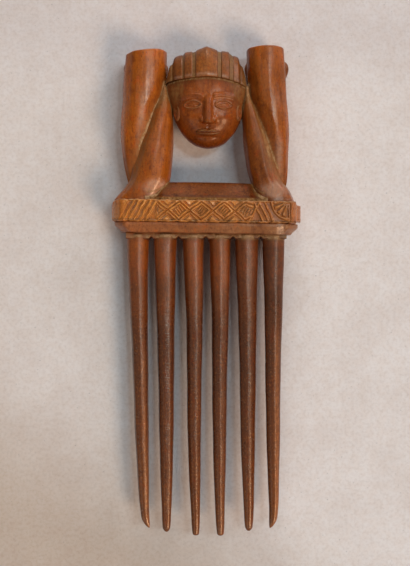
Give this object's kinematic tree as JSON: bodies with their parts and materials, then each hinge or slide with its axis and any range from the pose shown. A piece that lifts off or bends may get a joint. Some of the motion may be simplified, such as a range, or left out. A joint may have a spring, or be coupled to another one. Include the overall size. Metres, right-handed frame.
{
  "type": "comb",
  "caption": "Carved wooden hair comb: a row of long round teeth under a patterned bar, with a head between raised arms as its grip.",
  "frame": {"origin": "under the middle of the comb's bounding box, on the surface that the comb lies on with its back down", "axes": "+Y along the comb, from the tooth tips to the tops of the forearms; +Z out of the face, up from the surface; +X to the right for someone who looks at the face with the teeth down"},
  "size_m": [0.0856, 0.2206, 0.0261],
  "materials": {
    "tooth_wood": "hand-polished dark red-brown hardwood",
    "grip_wood": "hand-polished orange-brown hardwood",
    "carved_wood": "carved hardwood with pale dust in its cuts"
  },
  "bodies": {
    "root": {"tooth_1": "tooth_wood", "tooth_2": "tooth_wood", "tooth_3": "tooth_wood", "tooth_4": "tooth_wood", "tooth_5": "tooth_wood", "tooth_6": "tooth_wood", "tooth_rail": "tooth_wood", "skirt": "grip_wood", "shoulder_bar": "grip_wood", "left_upper_arm": "grip_wood", "right_upper_arm": "grip_wood", "left_forearm": "grip_wood", "right_forearm": "grip_wood", "left_hand": "grip_wood", "right_hand": "grip_wood", "head": "grip_wood", "plaited_hair": "grip_wood", "left_ear": "grip_wood", "right_ear": "grip_wood", "lozenge_band": "carved_wood"}
  },
  "joints": []
}
